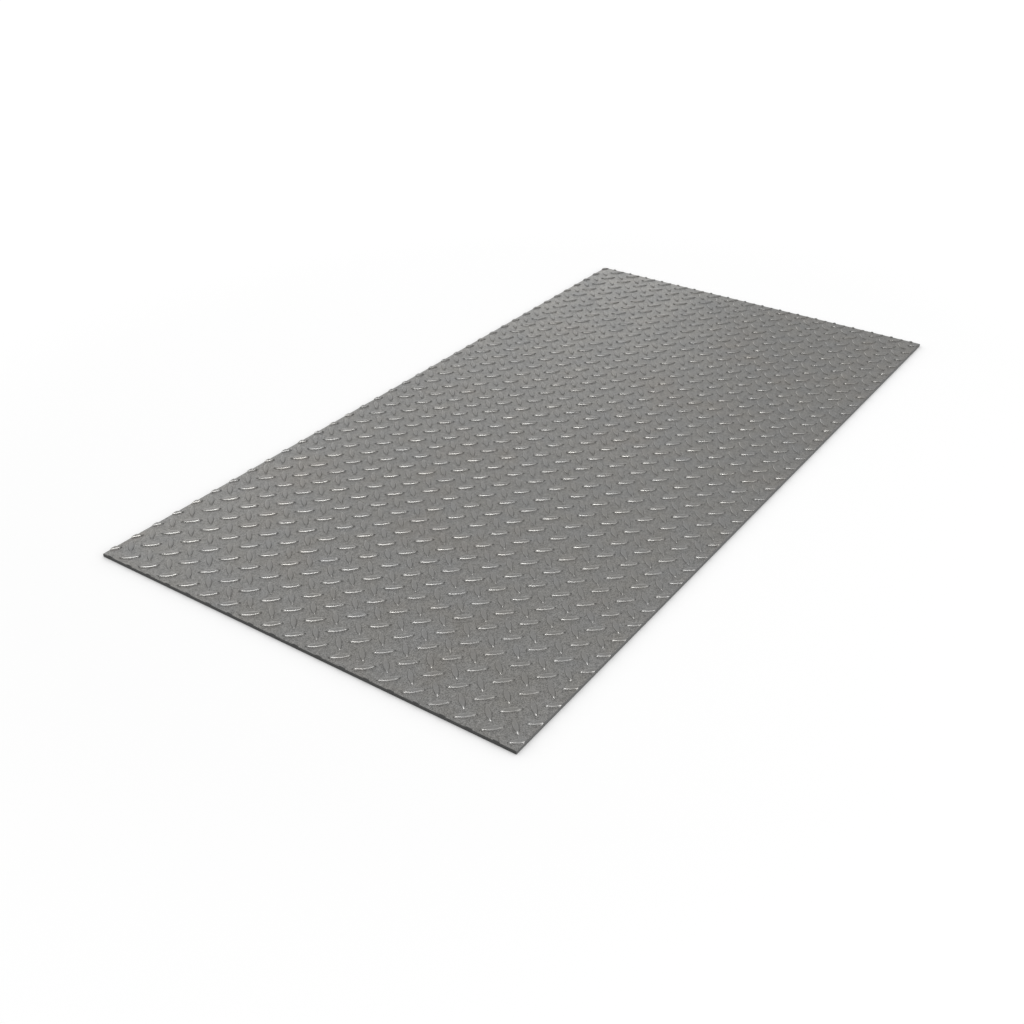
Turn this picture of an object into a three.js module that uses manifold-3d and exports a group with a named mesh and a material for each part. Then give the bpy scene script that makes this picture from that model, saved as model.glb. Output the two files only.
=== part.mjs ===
// Checker floor plate: one piece of hot-rolled steel sheet with raised lugs, sheared to a rectangle.
//
// Units are millimetres and +Z is up. The plate lies flat with its smooth underside on Z = 0, and the
// origin is at the middle of that underside. X runs along the length and Y across the width.

import * as THREE from 'three';
import { mergeGeometries, mergeVertices } from 'three/addons/utils/BufferGeometryUtils.js';
import Module from 'manifold-3d';

// The sheared sheet
const plateLength = 1250;
const plateWidth = 625;
const sheetThickness = 4.5;     // the gauge, between the lugs
const edgeBreak = 0.4;          // the corner that shearing and dressing take off every edge

// One lug: a long ridge with pointed ends, raised by a hollow in the roller
const lugLength = 25.9;
const lugWidth = 7.9;
const lugHeight = 1.5;
const lugRoot = 0.05;           // how far its slopes carry on below the face, to fuse with the sheet

// The rolled pattern: two grids of lugs that lie crosswise, each lug of one in a gap of the other
const pitchAlong = 35;          // from a lug to the next of its own grid, along the length
const pitchAcross = 34.5;
const lugTurn = THREE.MathUtils.degToRad(45);
const firstLugFromEnd = 14.6;   // from the end at -X to the middle of the first lugs of one grid
const firstLugFromSide = 33.1;  // from the side at +Y

const rootScale = (lugHeight + lugRoot) / lugHeight;
const wasm = await Module();
wasm.setup();

// A closed geometry, as a solid that can be joined to others.
function solidOf(geometry) {
  const bare = geometry.clone();
  bare.deleteAttribute('normal');
  bare.deleteAttribute('uv');
  const closed = mergeVertices(bare, 1e-4);
  return new wasm.Manifold(new wasm.Mesh({
    numProp: 3,
    vertProperties: closed.attributes.position.array,
    triVerts: Uint32Array.from(closed.index.array),
  }));
}

function geometryOf(solid) {
  const { vertProperties, triVerts } = solid.getMesh();
  const geometry = new THREE.BufferGeometry();
  geometry.setAttribute('position', new THREE.BufferAttribute(vertProperties, 3));
  geometry.setIndex(new THREE.BufferAttribute(triVerts, 1));
  geometry.computeVertexNormals();
  return geometry;
}

// The flat sheet: its outline inside the broken edges, drawn out to the full size by the bevel.
function sheetGeometry() {
  const halfLength = plateLength / 2 - edgeBreak;
  const halfWidth = plateWidth / 2 - edgeBreak;
  const outline = new THREE.Shape([
    new THREE.Vector2(-halfLength, -halfWidth),
    new THREE.Vector2(halfLength, -halfWidth),
    new THREE.Vector2(halfLength, halfWidth),
    new THREE.Vector2(-halfLength, halfWidth),
  ]);
  const sheet = new THREE.ExtrudeGeometry(outline, {
    depth: sheetThickness - 2 * edgeBreak,
    bevelThickness: edgeBreak,
    bevelSize: edgeBreak,
    bevelSegments: 1,
  });
  return sheet.translate(0, 0, edgeBreak);
}

// A lug standing on the face: four slopes that run up to its top, with its length turned off X.
function lugGeometry(turn) {
  const lug = new THREE.ConeGeometry(1, lugHeight + lugRoot, 4);
  lug.rotateX(Math.PI / 2);
  lug.scale(rootScale * lugLength / 2, rootScale * lugWidth / 2, 1);
  lug.rotateZ(turn);
  return lug.translate(0, 0, sheetThickness + (lugHeight - lugRoot) / 2);
}

// One grid of lugs. The lugs that would run over an edge are left off.
function lugGrid(turn, fromEnd, fromSide) {
  const lug = lugGeometry(turn);
  const reach = Math.cos(turn) * rootScale * lugLength / 2 + edgeBreak;
  const lugs = [];
  for (let along = fromEnd; along < plateLength - reach; along += pitchAlong) {
    for (let across = fromSide; across < plateWidth - reach; across += pitchAcross) {
      if (along > reach && across > reach) {
        lugs.push(lug.clone().translate(along - plateLength / 2, plateWidth / 2 - across, 0));
      }
    }
  }
  return lugs;
}

function plateGeometry() {
  const falling = lugGrid(-lugTurn, firstLugFromEnd, firstLugFromSide);
  const rising = lugGrid(lugTurn, firstLugFromEnd + pitchAlong / 2, firstLugFromSide - pitchAcross / 2);
  const lugs = solidOf(mergeGeometries([...falling, ...rising]));
  return geometryOf(solidOf(sheetGeometry()).add(lugs));
}

const rolledSteel = new THREE.MeshStandardMaterial({
  color: 0x82827d,
  roughness: 0.5,
  metalness: 0.9,
});

const plate = new THREE.Mesh(plateGeometry(), rolledSteel);
plate.name = 'plate';

const part = new THREE.Group();
part.add(plate);

export default part;
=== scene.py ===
# %% [markdown]
# # A sheet of checker plate
#
# The object is one piece of hot-rolled steel, a flat sheet with a pattern of crossed lugs on its upper
# side and a plain underside, sheared to a rectangle of 1250 by 625 mm. It lies flat on a pale floor.
#
# Everything in it is one solid piece, so the model is one mesh. What takes the skill is the pattern: more
# than twelve hundred lugs that must stay light, sit at an exact pitch and be cut where the shears cut them.
# The order of work is the mill's: one lug, one repeat of the pattern, the rolled sheet, then the shearing.

# %% [markdown]
# ## The frame
#
# The frame holds the sheet at its real size, as plain solids. It gives the box that the finished model has
# to keep to, so that box is measured before anything is added.

import math

import bmesh
import bpy
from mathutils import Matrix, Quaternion, Vector


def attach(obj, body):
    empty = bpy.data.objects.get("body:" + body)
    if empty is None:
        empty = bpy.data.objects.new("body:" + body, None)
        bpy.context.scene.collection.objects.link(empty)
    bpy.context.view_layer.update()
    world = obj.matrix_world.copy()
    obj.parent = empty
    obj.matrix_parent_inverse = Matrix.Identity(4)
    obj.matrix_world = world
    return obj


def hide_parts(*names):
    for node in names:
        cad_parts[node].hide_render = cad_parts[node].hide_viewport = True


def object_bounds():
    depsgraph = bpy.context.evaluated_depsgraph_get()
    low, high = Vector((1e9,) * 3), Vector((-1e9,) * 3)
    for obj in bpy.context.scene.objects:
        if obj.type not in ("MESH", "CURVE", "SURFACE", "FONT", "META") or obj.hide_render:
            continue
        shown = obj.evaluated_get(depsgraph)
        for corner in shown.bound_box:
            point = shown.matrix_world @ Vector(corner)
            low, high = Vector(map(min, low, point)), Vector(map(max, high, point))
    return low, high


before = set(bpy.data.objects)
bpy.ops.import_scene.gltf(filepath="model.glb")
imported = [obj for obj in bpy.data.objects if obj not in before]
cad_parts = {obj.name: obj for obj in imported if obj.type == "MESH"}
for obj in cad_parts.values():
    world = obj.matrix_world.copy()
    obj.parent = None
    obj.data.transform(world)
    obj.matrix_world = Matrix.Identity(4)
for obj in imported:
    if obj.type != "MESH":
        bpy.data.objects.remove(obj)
cad_low, cad_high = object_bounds()
half_length, half_width = cad_high.x, cad_high.y
print("box of the sheet:", cad_low, cad_high)

# %% [markdown]
# ## The sizes of a lug
#
# A lug is a low lens that the roll presses up from the sheet. Seen from above, its two long sides are arcs
# that meet in a sharp tip at each end. Seen from its end, it has a steep flank and a nearly flat top, and
# its foot is a crisp line where it leaves the sheet. These lugs are 28 mm long where the solid's are 25.9 mm.
# On a rounded lug the light fades before it reaches the tips, so it has to be a little longer to look as
# long as the real one.
#
# A lens could be cut from two cylinders, or it could be drawn as a curve and filled. Here one point is spun
# through two arcs, because that gives the true outline from three numbers: length, width and the number of
# steps in an arc. Twelve steps round is the least that still looks curved, and it matters, because each
# face is repeated more than twelve hundred times. The flank is given from the foot up, each step of it as
# millimetres inwards and millimetres upwards.

# %% Sizes of a lug
MM = 0.001
HAIR = 0.001 * MM
TOUCHING = 0.01 * MM
SHEET = 4.5 * MM
LUG_LENGTH = 28 * MM
LUG_WIDTH = 7.9 * MM
ARC_STEPS = 6
FLANK_STEPS = ((0.45, 0.7), (0.55, 0.6), (0.7, 0.15), (0.6, 0.05))

lug_height = sum(upwards for inwards, upwards in FLANK_STEPS)
arc_radius = (LUG_LENGTH**2 / 4 + LUG_WIDTH**2 / 4) / LUG_WIDTH
arc_sweep = 2 * math.asin(LUG_LENGTH / 2 / arc_radius)
print("a lug is", lug_height, "mm high, and its sides are arcs of", round(arc_radius / MM, 1), "mm radius")

# %% [markdown]
# ## Working in edit mode
#
# Every operator acts on what is selected, and the frame's own solids are selected when it has loaded. So
# each step starts by making one thing active and everything else unselected. Points and faces are then
# picked in code by where they lie, which is what a hand would do with a box select.

# %% Selecting and editing
def make_active(*things):
    bpy.ops.object.select_all(action="DESELECT")
    for thing in things:
        thing.select_set(True)
    bpy.context.view_layer.objects.active = things[0]


def start_edit(thing, action="SELECT"):
    make_active(thing)
    bpy.ops.object.mode_set(mode="EDIT")
    bpy.ops.mesh.select_all(action=action)


def end_edit():
    bpy.ops.object.mode_set(mode="OBJECT")


def settle(thing):
    make_active(thing)
    bpy.ops.object.transform_apply(location=True, rotation=True, scale=True)


def select_points(thing, test):
    bpy.ops.mesh.select_all(action="DESELECT")
    bpy.context.tool_settings.mesh_select_mode = (True, False, False)
    mesh = bmesh.from_edit_mesh(thing.data)
    for point in mesh.verts:
        point.select = test(point.co)
    mesh.select_flush_mode()
    bmesh.update_edit_mesh(thing.data)


def select_faces(thing, test):
    bpy.ops.mesh.select_all(action="DESELECT")
    bpy.context.tool_settings.mesh_select_mode = (False, False, True)
    mesh = bmesh.from_edit_mesh(thing.data)
    for face in mesh.faces:
        face.select = test(face)
    mesh.select_flush_mode()
    bmesh.update_edit_mesh(thing.data)


def count_triangles(thing):
    return sum(len(face.vertices) - 2 for face in thing.data.polygons)


print("the frame left", len(bpy.context.selected_objects), "object selected")

# %% [markdown]
# ## One lug
#
# A tiny circle is merged to a single point at one tip. Spinning that point about a centre far off to one
# side draws the first long side and ends at the other tip. Spinning it on about a centre as far off to the
# other side comes back to the start, and the closed outline is filled.
#
# The outline is marked sharp before it rises, so the foot stays a crisp line. Each inset then goes a little
# inwards and a little upwards: steep at first, then rounding over to the flat top. Insets are better than a
# scaled copy here, because they keep the flank equally wide from tip to tip, as a worn roll leaves it.

# %% The outline of a lug
def draw_outline(turn):
    along = Vector((math.cos(turn), math.sin(turn), 0))
    across = Vector((-math.sin(turn), math.cos(turn), 0))
    middle = Vector((0, 0, SHEET))
    bpy.ops.object.select_all(action="DESELECT")
    bpy.ops.mesh.primitive_circle_add(vertices=3, radius=MM, location=middle + along * LUG_LENGTH / 2)
    lug = bpy.context.object
    settle(lug)
    start_edit(lug)
    bpy.ops.mesh.merge(type="CENTER")
    for toward in (-1, 1):
        centre = middle + across * toward * (arc_radius - LUG_WIDTH / 2)
        bpy.ops.mesh.spin(steps=ARC_STEPS, angle=-arc_sweep, center=centre, axis=(0, 0, 1))
    bpy.ops.mesh.select_all(action="SELECT")
    bpy.ops.mesh.remove_doubles(threshold=HAIR)
    bpy.ops.mesh.edge_face_add()
    if bmesh.from_edit_mesh(lug.data).faces[:][0].normal.z < 0:
        bpy.ops.mesh.flip_normals()
    end_edit()
    return lug


falling = draw_outline(math.radians(-45))
rising = draw_outline(math.radians(45))
print("an outline has", len(falling.data.vertices), "points")

# %% The flanks of a lug
for lug in (falling, rising):
    start_edit(lug)
    bpy.ops.mesh.mark_sharp()
    for inwards, upwards in FLANK_STEPS:
        bpy.ops.mesh.inset(thickness=inwards * MM, depth=upwards * MM)
    end_edit()
    print("a lug has", len(lug.data.polygons), "faces and tops out at", lug.bound_box[1][2] / MM, "mm")

# %% [markdown]
# ## One repeat of the pattern
#
# The lugs stand in two crossed directions, like a basket weave: one that falls to the right in the middle of
# each repeat, and one that rises to the right at its corners. A repeat is 35 mm along the sheet and 34.5 mm
# across it, because the rolls draw the steel out a little in the rolling direction.
#
# Setting each lug on the sheet by itself would leave over a thousand loose shells lying in one big face.
# Instead, the repeat is made as a tile of closed skin: one whole lug, a quarter of a lug at each corner and
# the flat sheet between them. Tiles that meet edge to edge then become one skin.

# %% The lugs of a repeat
PITCH_ALONG = 35 * MM
PITCH_ACROSS = 34.5 * MM
reach = (PITCH_ALONG / 2, PITCH_ACROSS / 2)


def copy_to(original, x, y):
    make_active(original)
    bpy.ops.object.duplicate()
    copy = bpy.context.object
    copy.location = (x, y, 0)
    settle(copy)
    return copy


corners = [copy_to(rising, x * reach[0], y * reach[1]) for x in (-1, 1) for y in (-1, 1)]
plate = falling
make_active(plate, *corners)
bpy.ops.object.join()
bpy.data.objects.remove(rising)
plate.name = "patterned_plate"
print("lugs in the repeat, before cutting:", 1 + len(corners))

# %% [markdown]
# The corner lugs are cut on the four sides of the repeat. That leaves each of them open where it was cut,
# so the line where the cut meets the sheet is closed with an edge, and a beauty fill lays the sheet between
# all the feet.

# %% The sheet between the lugs
SIDES = (Vector((1, 0, 0)), Vector((-1, 0, 0)), Vector((0, 1, 0)), Vector((0, -1, 0)))


def cut_off(outwards, distance):
    bpy.ops.mesh.select_all(action="SELECT")
    bpy.ops.mesh.bisect(
        plane_co=outwards * distance, plane_no=outwards, clear_outer=True, threshold=HAIR
    )


start_edit(plate)
for outwards in SIDES:
    cut_off(outwards, reach[0] if outwards.x else reach[1])
for outwards in SIDES:
    distance = reach[0] if outwards.x else reach[1]
    select_points(
        plate, lambda co: abs(co.dot(outwards) - distance) < HAIR and abs(co.z - SHEET) < HAIR
    )
    bpy.ops.mesh.edge_face_add()
select_points(plate, lambda co: abs(co.z - SHEET) < HAIR)
bpy.ops.mesh.fill(use_beauty=True)
bpy.ops.mesh.select_all(action="SELECT")
bpy.ops.mesh.normals_make_consistent(inside=False)
end_edit()
print("the tile has", count_triangles(plate), "triangles")

# %% [markdown]
# ## The rolled sheet
#
# The pattern runs on over the whole sheet, and the shears cut it wherever the sheet ends. So the first tile
# is set at its real distance from the corner, and two arrays carry it past all four sides. Copying tile by
# tile would do the same, but an array also merges the points where two tiles meet.

# %% Where the pattern starts
FIRST_FROM_END = 14.6 * MM
FIRST_FROM_SIDE = -1.4 * MM

start = Vector((FIRST_FROM_END - half_length, half_width - FIRST_FROM_SIDE, 0))
plate.location = start
settle(plate)
print("the first whole tile is centred at", start)

# %% Rows and columns
def modify(thing, kind, **settings):
    make_active(thing)
    bpy.ops.object.modifier_add(type=kind)
    modifier = thing.modifiers[-1]
    for name, value in settings.items():
        setattr(modifier, name, value)
    bpy.ops.object.modifier_apply(modifier=modifier.name)


def repeat(thing, count, step):
    modify(
        thing,
        "ARRAY",
        count=count,
        use_relative_offset=False,
        use_constant_offset=True,
        constant_offset_displace=step,
        use_merge_vertices=True,
        merge_threshold=TOUCHING,
    )


columns = math.ceil((half_length - start.x) / PITCH_ALONG + 0.5)
rows = math.ceil((half_width + start.y) / PITCH_ACROSS + 0.5)
repeat(plate, columns, (PITCH_ALONG, 0, 0))
repeat(plate, rows, (0, -PITCH_ACROSS, 0))
print(columns, "columns and", rows, "rows of tiles,", count_triangles(plate), "triangles")

# %% [markdown]
# Each corner lug now has a cross of seams over its top, left from the cuts. They add nothing to the shape
# and cost two triangles each, so the raised ones are dissolved. An edge counts as a seam if both its ends
# lie on the same line between tiles.

# %% Seams between the tiles
def on_seam(one, other, first, pitch):
    steps = [(value - first) / pitch - 0.5 for value in (one, other)]
    return all(abs(step - round(step)) * pitch < TOUCHING for step in steps)


start_edit(plate, "DESELECT")
bpy.context.tool_settings.mesh_select_mode = (False, True, False)
mesh = bmesh.from_edit_mesh(plate.data)
for line in mesh.edges:
    one, other = [point.co for point in line.verts]
    raised = max(one.z, other.z) > SHEET + HAIR
    seam = on_seam(one.x, other.x, start.x, PITCH_ALONG) or on_seam(one.y, other.y, start.y, PITCH_ACROSS)
    line.select = raised and seam and not line.is_boundary
bmesh.update_edit_mesh(plate.data)
bpy.ops.mesh.dissolve_edges(use_verts=True)
end_edit()
print("without the seams:", count_triangles(plate), "triangles")

# %% [markdown]
# ## Shearing to size
#
# The shears cut straight through sheet and lugs, so a cut lug shows its own profile in the edge of the
# plate. A bisect on each side does just that. The blades leave a rounded edge less than half a millimetre
# wide above and below, and a straight cut face between them.
#
# A bevel would trip over the cut lugs. Instead the sheet is cut short by the width of the rounding, and the
# open rim is drawn outwards and down in two steps, straight down over the cut face, and inwards again
# underneath. The last rim is filled with the smooth underside.

# %% Cutting the four sides
EDGE_BREAK = 0.4 * MM
BEND = math.sin(math.radians(45))


def reach_at(inset):
    return Vector((half_length - inset, half_width - inset, 0))


flat = reach_at(EDGE_BREAK)
start_edit(plate)
for outwards in SIDES:
    cut_off(outwards, flat.x if outwards.x else flat.y)
end_edit()
print("the flat of the sheet ends", EDGE_BREAK / MM, "mm inside its box")

# %% Drawing out the rim
def draw_rim(from_reach, to_reach, drop):
    bpy.ops.mesh.extrude_edges_move(TRANSFORM_OT_translate={"value": (0, 0, -drop)})
    bpy.ops.transform.resize(
        value=(to_reach.x / from_reach.x, to_reach.y / from_reach.y, 1), center_override=(0, 0, 0)
    )


middle = reach_at(EDGE_BREAK * (1 - BEND))
start_edit(plate, "DESELECT")
bpy.ops.mesh.select_non_manifold(
    extend=False, use_wire=False, use_boundary=True,
    use_multi_face=False, use_non_contiguous=False, use_verts=False,
)
draw_rim(flat, middle, EDGE_BREAK * (1 - BEND))
draw_rim(middle, reach_at(0), EDGE_BREAK * BEND)
bpy.ops.mesh.extrude_edges_move(TRANSFORM_OT_translate={"value": (0, 0, -MM)})
bpy.ops.transform.resize(value=(1, 1, 0), center_override=(0, 0, EDGE_BREAK))
draw_rim(reach_at(0), middle, EDGE_BREAK * BEND)
draw_rim(middle, flat, EDGE_BREAK * (1 - BEND))
bpy.ops.mesh.edge_face_add()
bpy.ops.mesh.select_all(action="SELECT")
bpy.ops.mesh.normals_make_consistent(inside=False)
end_edit()
print("the plate has", count_triangles(plate), "triangles")

# %% [markdown]
# ## Smooth where it was rolled, crisp at the foot
#
# A lug has only a few faces, yet the real one has no facets: its flank rounds over softly. Smooth shading
# gives that, as long as the big flat sheet does not pull the shading of the feet along. The feet were
# marked sharp for this. Weighting the normals by face area then keeps the tops and the sheet truly flat, so
# a straight reflection stays straight.

# %% Shading
make_active(plate)
bpy.ops.object.shade_smooth()
modify(plate, "WEIGHTED_NORMAL", mode="FACE_AREA", weight=100, keep_sharp=True)
print("sharp edges kept:", sum(line.use_edge_sharp for line in plate.data.edges))

# %% [markdown]
# ## What mill scale looks like
#
# Hot-rolled steel is covered by mill scale, a thin dark skin of oxide. From near by it is speckled: light
# grains of about a millimetre where the scale is thin, between darker ones. Over a hand's width it drifts a
# little in tone and in shine, and here and there it has a faint warm stain.
#
# Height matters as well. The lugs are rubbed even and smooth by whatever slides over them, and round their
# feet, in the crease where they leave the sheet, a dark line of painted shade is laid. The sheet lies flat,
# so height is simply Z above the rolled face.
#
# The rolled faces and the sheared edges show this in different amounts. So it is one node group, whose
# inputs are the sizes of the grains and of the patches and the depth of the relief. It puts out masks
# between 0 and 1 and a normal, and each material turns them into its own colours.
#
# The grain is noise on Object coordinates. An unwrapped texture would need one huge map for 1250 mm of
# plate at this fineness, while noise has the same detail everywhere and never repeats. A scale counts the
# cells of the noise in a metre, so 650 makes specks of a millimetre and a half.

# %% Helpers for nodes
NOISE_ROUGHNESS = 0.6


def add_noise(tree, place, scale, detail):
    noise = tree.nodes.new("ShaderNodeTexNoise")
    noise.inputs["Detail"].default_value = detail
    noise.inputs["Roughness"].default_value = NOISE_ROUGHNESS
    tree.links.new(place, noise.inputs["Vector"])
    tree.links.new(scale, noise.inputs["Scale"])
    return noise.outputs["Fac"]


def add_range(tree, value, low, high, to_low=0.0, to_high=1.0):
    node = tree.nodes.new("ShaderNodeMapRange")
    tree.links.new(value, node.inputs["Value"])
    for label, number in (("From Min", low), ("From Max", high), ("To Min", to_low), ("To Max", to_high)):
        node.inputs[label].default_value = number
    return node.outputs["Result"]


def add_math(tree, operation, one, two):
    node = tree.nodes.new("ShaderNodeMath")
    node.operation = operation
    tree.links.new(one, node.inputs[0])
    tree.links.new(two, node.inputs[1])
    return node.outputs[0]


def add_mix(tree, factor, one, two, blend_type="MIX"):
    node = tree.nodes.new("ShaderNodeMix")
    node.data_type = "RGBA"
    node.blend_type = blend_type
    if isinstance(factor, float):
        node.inputs["Factor"].default_value = factor
    else:
        tree.links.new(factor, node.inputs["Factor"])
    sockets = [socket for socket in node.inputs if socket.type == "RGBA"]
    for socket, value in zip(sockets, (one, two)):
        if isinstance(value, tuple):
            socket.default_value = (*value, 1)
        else:
            tree.links.new(value, socket)
    return [socket for socket in node.outputs if socket.type == "RGBA"][0]


# %% The mill scale group
scale_skin = bpy.data.node_groups.new("mill_scale", "ShaderNodeTree")
for label in ("Grain Scale", "Speck Scale", "Patch Scale", "Stain Scale", "Relief"):
    scale_skin.interface.new_socket(name=label, in_out="INPUT", socket_type="NodeSocketFloat")
# Foot is the mask for the painted shade at the feet of the lugs.
for label in ("Grain", "Patches", "Stain", "Rubbed", "Foot"):
    scale_skin.interface.new_socket(name=label, in_out="OUTPUT", socket_type="NodeSocketFloat")
scale_skin.interface.new_socket(name="Normal", in_out="OUTPUT", socket_type="NodeSocketVector")

given = scale_skin.nodes.new("NodeGroupInput").outputs
result = scale_skin.nodes.new("NodeGroupOutput").inputs
place = scale_skin.nodes.new("ShaderNodeTexCoord").outputs["Object"]
specks = add_noise(scale_skin, place, given["Speck Scale"], 2)
grains = add_noise(scale_skin, place, given["Grain Scale"], 4)
patches = add_noise(scale_skin, place, given["Patch Scale"], 5)
stains = add_noise(scale_skin, place, given["Stain Scale"], 3)
print("noises in the group:", sum(node.type == "TEX_NOISE" for node in scale_skin.nodes))

# %% Rubbed tops and dark feet
RUB_STARTS, RUB_FULL = 0.1 * MM, 0.6 * MM
FOOT_STARTS, FOOT_FULL = 0.01 * MM, 0.05 * MM
FOOT_FADES, FOOT_ENDS = 0.3 * MM, 1.1 * MM

axes = scale_skin.nodes.new("ShaderNodeSeparateXYZ")
scale_skin.links.new(place, axes.inputs[0])
height = axes.outputs["Z"]
rubbed = add_range(scale_skin, height, SHEET + RUB_STARTS, SHEET + RUB_FULL)
# The foot mask is a band just above the sheet round each lug, where the painted shade goes.
raised = add_range(scale_skin, height, SHEET + FOOT_STARTS, SHEET + FOOT_FULL)
lower = add_range(scale_skin, height, SHEET + FOOT_FADES, SHEET + FOOT_ENDS, 1.0, 0.0)
foot = add_math(scale_skin, "MULTIPLY", raised, lower)
print("the grime at a foot ends", FOOT_ENDS / MM, "mm above the sheet")

# %% What the group puts out
GRAIN_SHARE = 0.3
RELIEF_DEPTH = 0.1 * MM
RELIEF_LEFT = 0.3
STAIN_SPREAD = (0.52, 0.66)

blend = scale_skin.nodes.new("ShaderNodeMix")
blend.inputs["Factor"].default_value = GRAIN_SHARE
scale_skin.links.new(specks, blend.inputs["A"])
scale_skin.links.new(grains, blend.inputs["B"])
roughened = add_range(scale_skin, rubbed, 0.0, 1.0, 1.0, RELIEF_LEFT)
relief = scale_skin.nodes.new("ShaderNodeBump")
relief.inputs["Distance"].default_value = RELIEF_DEPTH
scale_skin.links.new(add_math(scale_skin, "MULTIPLY", given["Relief"], roughened), relief.inputs["Strength"])
scale_skin.links.new(specks, relief.inputs["Height"])
masks = {
    "Grain": blend.outputs["Result"],
    "Patches": patches,
    "Stain": add_range(scale_skin, stains, *STAIN_SPREAD),
    "Rubbed": rubbed,
    "Foot": foot,
    "Normal": relief.outputs["Normal"],
}
for label, value in masks.items():
    scale_skin.links.new(value, result[label])
print("the group puts out:", list(masks))

# %% [markdown]
# ## The rolled faces
#
# Steel under mill scale is still bare metal to the light, so the finish is fully metallic, and what the eye
# reads as its colour is the strength of its reflection. The grain mask runs between a dark and a light
# warm-neutral grey, which the rubbed lugs have lost. Round their feet a darker grey is laid over it as
# painted shade, and that dark line round each lug is what keeps the pattern readable where a lug turns its
# end to the light.
#
# Patches shift the grey a hair between warm and cool and make some areas shinier than others, which is what
# lets the reflections of the lamps break up over the sheet.

# %% A material with mill scale
def start_material(name, **sizes):
    material = bpy.data.materials.new(name)
    material.use_nodes = True
    tree = material.node_tree
    effect = tree.nodes.new("ShaderNodeGroup")
    effect.node_tree = scale_skin
    for label, number in sizes.items():
        effect.inputs[label.replace("_", " ").title()].default_value = number
    return material, tree, tree.nodes["Principled BSDF"], effect.outputs


rolled, tree, shader, effect = start_material(
    "rolled_steel", speck_scale=650, grain_scale=190, patch_scale=22, stain_scale=7, relief=0.25
)
print("material:", rolled.name)

# %% Greys of the rolled faces
DARK_GRAIN = (0.155, 0.153, 0.148)
LIGHT_GRAIN = (0.434, 0.43, 0.415)
RUBBED_STEEL = (0.31, 0.307, 0.298)
# The darkest grey is painted shade, laid in the crease at the foot of each lug.
PAINTED_SHADE_GREY = (0.09, 0.089, 0.087)
GRAIN_SPREAD = (0.36, 0.64)
RUBBED_SHARE = 0.75
PAINTED_SHADE_SHARE = 0.6

speckle = add_range(tree, effect["Grain"], *GRAIN_SPREAD)
tone = add_mix(tree, speckle, DARK_GRAIN, LIGHT_GRAIN)
rubbing = add_range(tree, effect["Rubbed"], 0.0, 1.0, 0.0, RUBBED_SHARE)
tone = add_mix(tree, rubbing, tone, RUBBED_STEEL)
# Painted shade: the foot mask lays the darkest grey over the crease round each lug.
painted_shade = add_range(tree, effect["Foot"], 0.0, 1.0, 0.0, PAINTED_SHADE_SHARE)
tone = add_mix(tree, painted_shade, tone, PAINTED_SHADE_GREY)
print("the light grains are", round(LIGHT_GRAIN[0] / DARK_GRAIN[0], 1), "times as bright as the dark ones")

# %% Tint and shine of the rolled faces
WARM, COOL = (1.0, 0.985, 0.96), (0.97, 0.98, 1.0)
CLEAN, STAINED = (1.0, 1.0, 1.0), (1.0, 0.98, 0.965)
PATCH_SPREAD = (0.3, 0.7)
SHINY, DULL = 0.34, 0.44

drift = add_range(tree, effect["Patches"], *PATCH_SPREAD)
tint = add_mix(tree, drift, WARM, COOL)
warmth = add_mix(tree, effect["Stain"], CLEAN, STAINED)
tone = add_mix(tree, 1.0, tone, tint, "MULTIPLY")
tone = add_mix(tree, 1.0, tone, warmth, "MULTIPLY")
roughness = add_range(tree, effect["Patches"], *PATCH_SPREAD, SHINY, DULL)
tree.links.new(tone, shader.inputs["Base Color"])
tree.links.new(roughness, shader.inputs["Roughness"])
tree.links.new(effect["Normal"], shader.inputs["Normal"])
shader.inputs["Metallic"].default_value = 1.0
print("nodes in the rolled finish:", len(tree.nodes))

# %% [markdown]
# ## The sheared edges
#
# A cut face is not covered by scale. The blades leave it dull and rather dark. The two ends are painted
# darker than the long sides, as painted shade for the weaker light that falls on them, so the ends and the
# sides are a shaded and a lit copy of one finish. The same group serves, with the grains set finer and the
# relief deeper, and the metal is broken up enough that it no longer mirrors.

# %% Finish of the sheared edges
SLIT_GREYS = ((0.07, 0.07, 0.069), (0.2, 0.2, 0.196))
# The ends' greys are painted shade: the sides' finish made darker for the weaker light on the ends.
SHADED_END_GREYS = ((0.025, 0.025, 0.025), (0.08, 0.08, 0.078))
EDGE_METAL = 0.4
EDGE_ROUGHNESS = 0.55


def make_edge_finish(name, greys):
    material, tree, shader, effect = start_material(name, speck_scale=900, grain_scale=260, relief=0.4)
    tone = add_mix(tree, effect["Grain"], *greys)
    tree.links.new(tone, shader.inputs["Base Color"])
    tree.links.new(effect["Normal"], shader.inputs["Normal"])
    shader.inputs["Metallic"].default_value = EDGE_METAL
    shader.inputs["Roughness"].default_value = EDGE_ROUGHNESS
    print("material:", name)
    return material


slit_side = make_edge_finish("slit_side", SLIT_GREYS)
cut_end = make_edge_finish("cut_end", SHADED_END_GREYS)

# %% [markdown]
# The edge finishes go on the faces that lie beyond the flat of the sheet on any side, and the rolled finish
# on all the rest. The faces are picked by their middle point.

# %% Giving out the finishes
def give_finish(thing, slot, test):
    select_faces(thing, test)
    thing.active_material_index = slot
    bpy.ops.object.material_slot_assign()


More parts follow.
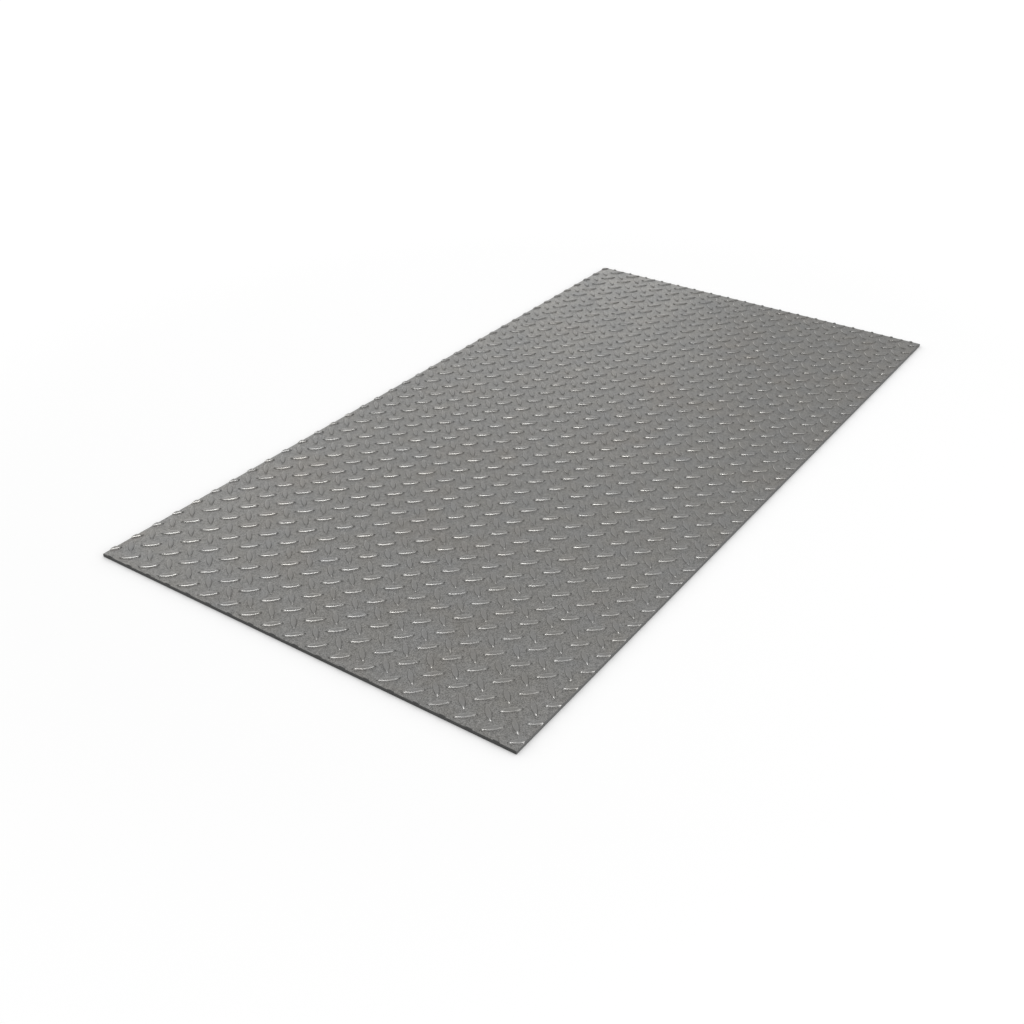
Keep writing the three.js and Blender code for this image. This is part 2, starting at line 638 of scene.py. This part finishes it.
plate.data.materials.clear()
for material in (rolled, slit_side, cut_end):
    plate.data.materials.append(material)
start_edit(plate)
give_finish(plate, 1, lambda face: abs(face.calc_center_median().y) > flat.y)
give_finish(plate, 2, lambda face: abs(face.calc_center_median().x) > flat.x)
end_edit()
for slot, material in enumerate(plate.data.materials):
    print(material.name, "has", sum(face.material_index == slot for face in plate.data.polygons), "faces")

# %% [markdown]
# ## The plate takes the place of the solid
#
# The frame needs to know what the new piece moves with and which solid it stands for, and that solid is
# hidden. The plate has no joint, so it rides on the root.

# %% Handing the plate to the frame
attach(plate, "root")
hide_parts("plate")
print("the plate replaces the solid, at", tuple(plate.location))

# %% [markdown]
# ## A pale floor
#
# The floor should look like white studio paper and still keep the shadow under the sheet. Paper bright
# enough to be white by its own colour would have to be lit so hard that the steel bleached out. So the
# paper has a middling grey colour, which takes the shadow, and a glow that only the camera and mirrored
# rays see. That glow never lights the steel, but the steel shows it in its reflections.
#
# The shadow of a sheet 4.5 mm thick is a thin line. The glow would wash it out, so it fades close to the
# sheet with Ambient Occlusion, which measures how much of the floor's view is blocked within 30 mm. The
# lamps reach less of the paper far away, so the glow rises a little outwards to keep it evenly white.

# %% The floor sheet
FLOOR_SIZE = 24
FLOOR_DROP = 0.1 * MM

bpy.ops.object.select_all(action="DESELECT")
bpy.ops.mesh.primitive_plane_add(size=FLOOR_SIZE, location=(0, 0, -FLOOR_DROP))
floor = bpy.context.object
floor.name = "floor"
print("the floor is", floor.dimensions.x, "m wide")

# %% Rays that should find white
def seen_directly(tree):
    rays = tree.nodes.new("ShaderNodeLightPath").outputs
    mirrored = add_math(tree, "MAXIMUM", rays["Is Glossy Ray"], rays["Is Transmission Ray"])
    return add_math(tree, "MAXIMUM", rays["Is Camera Ray"], mirrored)


print("white is for rays from the camera, and for those that a mirror or glass sends on")

# %% White paper
PAPER_GREY = 0.5
SHADOW_REACH = 30 * MM
NEAR_GLOW, FAR_GLOW = 0.62, 0.73
GLOW_RISES = (0.8, 3.0)

paper = bpy.data.materials.new("floor_paper")
paper.use_nodes = True
tree = paper.node_tree
shader = tree.nodes["Principled BSDF"]
nearness = tree.nodes.new("ShaderNodeAmbientOcclusion")
nearness.inputs["Distance"].default_value = SHADOW_REACH
nearness.samples = 4
from_middle = tree.nodes.new("ShaderNodeVectorMath")
from_middle.operation = "LENGTH"
tree.links.new(tree.nodes.new("ShaderNodeTexCoord").outputs["Object"], from_middle.inputs[0])
glow = add_range(tree, from_middle.outputs["Value"], *GLOW_RISES, NEAR_GLOW, FAR_GLOW)
glow = add_math(tree, "MULTIPLY", glow, nearness.outputs["AO"])
glow = add_math(tree, "MULTIPLY", glow, seen_directly(tree))
tree.links.new(glow, shader.inputs["Emission Strength"])
shader.inputs["Emission Color"].default_value = (1, 1, 1, 1)
shader.inputs["Base Color"].default_value = (PAPER_GREY, PAPER_GREY, PAPER_GREY, 1)
shader.inputs["Roughness"].default_value = 1.0
shader.inputs["Specular IOR Level"].default_value = 0.0
floor.data.materials.append(paper)
print("material:", paper.name)

# %% [markdown]
# ## A white room
#
# The world is a plain bright room. The camera sees it as pure white. Mirrored rays find its walls just as
# white, so that the steel shows the room it stands in, but its ceiling a little dimmer, so that the lamps
# have something to stand out against. All other light comes at that dimmer level. Light Path tells the rays
# apart, and the height of a ray's direction tells wall from ceiling.

# %% The room
WALL_TOP = 0.3
CEILING_LEVEL = 0.65

world = bpy.data.worlds.new("studio")
bpy.context.scene.world = world
world.use_nodes = True
tree = world.node_tree
room = tree.nodes["Background"]
room.inputs["Color"].default_value = (1, 1, 1, 1)
direction = tree.nodes.new("ShaderNodeSeparateXYZ")
tree.links.new(tree.nodes.new("ShaderNodeTexCoord").outputs["Generated"], direction.inputs[0])
wall = add_range(tree, direction.outputs["Z"], 0.0, WALL_TOP, 1.0, 0.0)
white = add_math(tree, "MULTIPLY", wall, seen_directly(tree))
level = add_range(tree, white, 0.0, 1.0, CEILING_LEVEL, 1.0)
camera_ray = tree.nodes.new("ShaderNodeLightPath").outputs["Is Camera Ray"]
tree.links.new(add_math(tree, "MAXIMUM", level, camera_ray), room.inputs["Strength"])
print("world:", world.name)

# %% [markdown]
# ## The lamps
#
# A flat sheet mirrors whatever is round it, so the lamps are placed by what their reflections should do.
# The main one is a long narrow strip, high up on the side the sheet is seen from. The rounding of each lug
# that faces it catches it as one bright line. Three wide upright panels stand round the sheet, one beyond
# its far end and one along each side. They fill the flanks that face away from the strip and the cut faces.
#
# No lamp is seen by the camera. The strip is linked to the plate alone, because it would lay a bright pool
# on the paper below it.

# %% Lamps
def add_lamp(name, location, width, height, power):
    bpy.ops.object.light_add(type="AREA", location=location)
    lamp = bpy.context.object
    lamp.name = name
    lamp.data.shape = "RECTANGLE"
    lamp.data.size = width
    lamp.data.size_y = height
    lamp.data.energy = power
    lamp.visible_camera = False
    return lamp


def add_panel(name, location, aim, width, height, power):
    panel = add_lamp(name, location, width, height, power)
    panel.rotation_euler = (Vector(aim) - Vector(location)).to_track_quat("-Z", "Y").to_euler()


strip = add_lamp("strip_lamp", (-1.49, -0.36, 1.5), 2.65, 0.35, 37.0)
strip.rotation_euler = (0, 0, math.radians(-29))
add_panel("far_panel", (2.26, 2.04, 0.48), (0, 0.57, 0.48), 2.28, 0.96, 7.0)
add_panel("left_panel", (0.7, 3, 1.2), (0.7, 0, 1.2), 3.4, 0.8, 9.5)
add_panel("near_panel", (0, -3, 1.2), (0, 0, 1.2), 2.0, 0.8, 18.5)

# %% The strip lights the plate only
on_steel = bpy.data.collections.new("lit_by_the_strip")
on_steel.objects.link(plate)
strip.light_linking.receiver_collection = on_steel

# %% [markdown]
# ## The camera
#
# The view is from above one long corner, so the near end of the sheet opens out and the far end closes in.
# Two angles aim the camera, one for how far it is turned round the sheet and one for how steeply it looks
# down on it, with a small roll. A tiny sideways shift centres the sheet in the frame. Depth of field stays
# off, so the pattern is sharp everywhere.

# %% Camera
CAMERA_PLACE = (-1.4255, -0.8250, 0.8730)
TURN, CLIMB, ROLL = math.radians(-55.425), math.radians(31.564), math.radians(0.557)
LENS = 43.79
SHIFT = 0.0244

bpy.ops.object.camera_add(location=CAMERA_PLACE)
camera = bpy.context.object
back = Vector((math.sin(TURN) * math.cos(CLIMB), -math.cos(TURN) * math.cos(CLIMB), math.sin(CLIMB)))
camera.rotation_mode = "QUATERNION"
camera.rotation_quaternion = (-back).to_track_quat("-Z", "Y") @ Quaternion((0, 0, 1), ROLL)
camera.data.sensor_width = 36
camera.data.lens = LENS
camera.data.shift_x = SHIFT
camera.data.clip_end = 50
bpy.context.scene.camera = camera
bpy.context.scene.view_settings.view_transform = "Standard"
print("camera at", tuple(camera.location))
